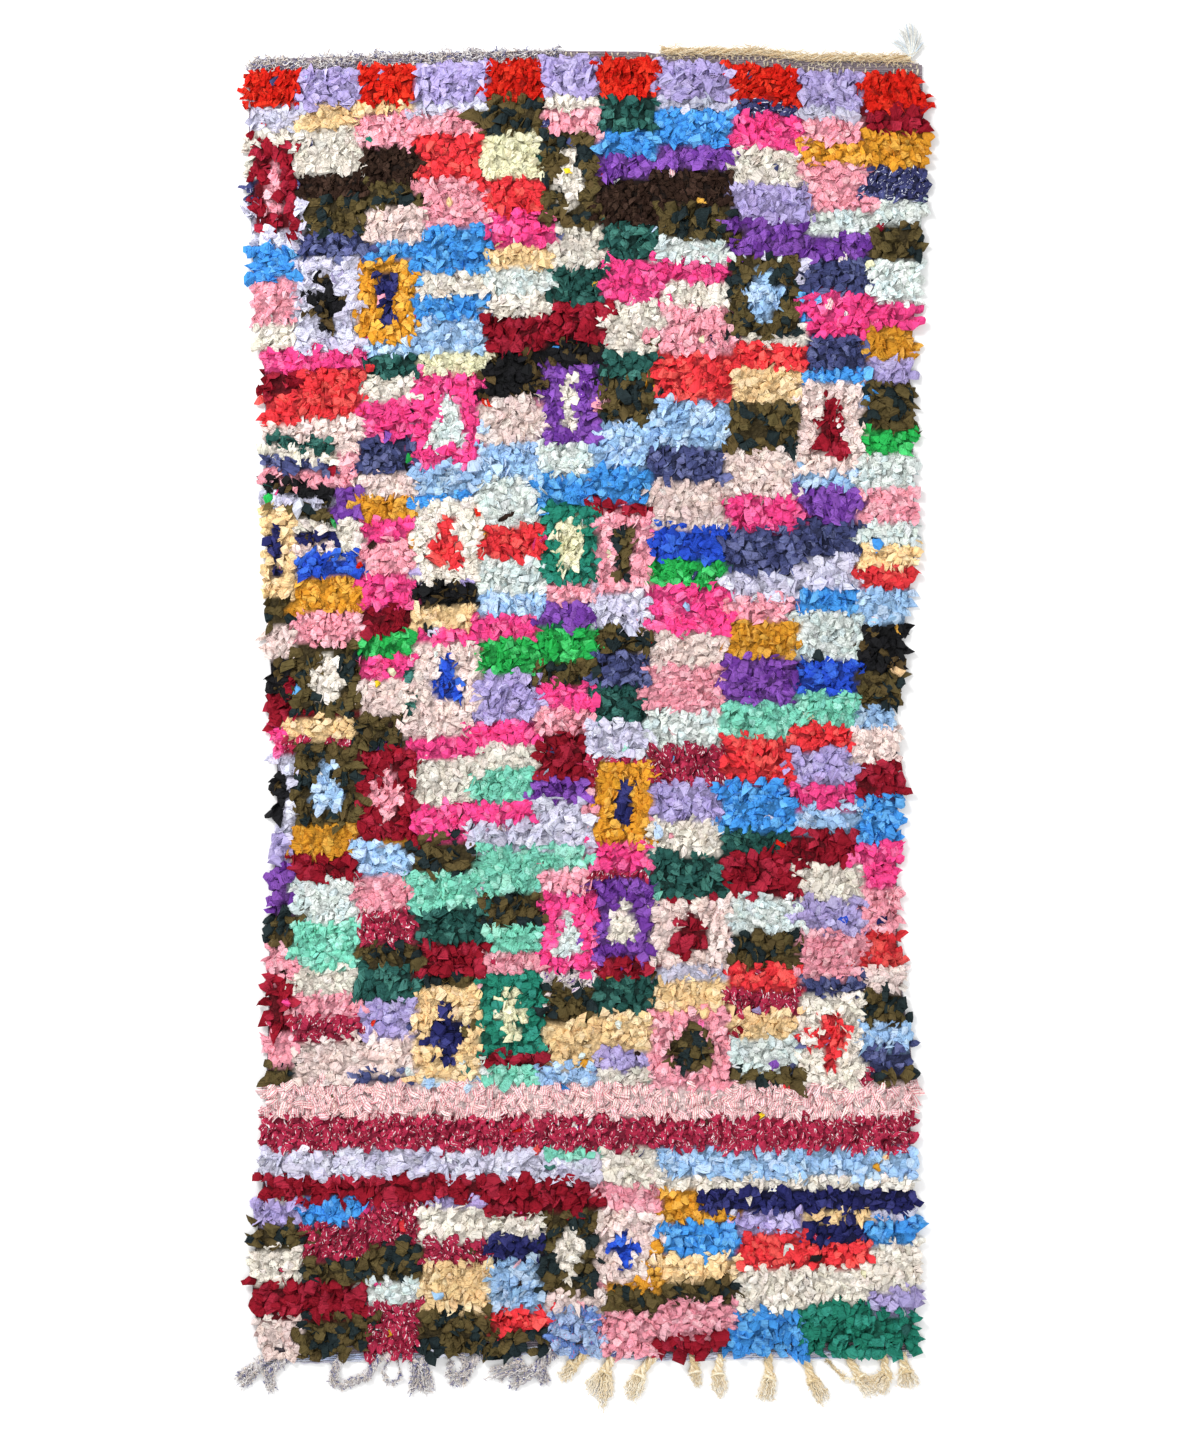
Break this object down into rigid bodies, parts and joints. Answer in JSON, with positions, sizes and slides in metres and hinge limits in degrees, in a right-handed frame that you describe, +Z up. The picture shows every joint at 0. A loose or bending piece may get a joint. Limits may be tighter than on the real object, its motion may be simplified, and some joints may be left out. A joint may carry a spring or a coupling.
{
  "type": "boucherouite rug",
  "caption": "Long shaggy rag-pile rug of bricked colour blocks and framed lozenges, with a flat woven hem at one end and knotted fringe at the other.",
  "frame": {"origin": "middle of the underside of the whole rug's box, on the floor", "axes": "+Z up out of the pile, +Y along the length towards the flat woven end, +X to the right seen from above"},
  "size_m": [1.4052, 2.7906, 0.0292],
  "materials": {
    "rag_pile": "matte cut rags in many colours",
    "grey_yarn": "frizzy mottled yarn",
    "cream_cotton": "matte twisted cotton"
  },
  "bodies": {
    "root": {"rug_ground_and_pile": "rag_pile", "fringe_grey": "grey_yarn", "fringe_cream": "cream_cotton", "edge_cord": "cream_cotton"}
  },
  "joints": []
}
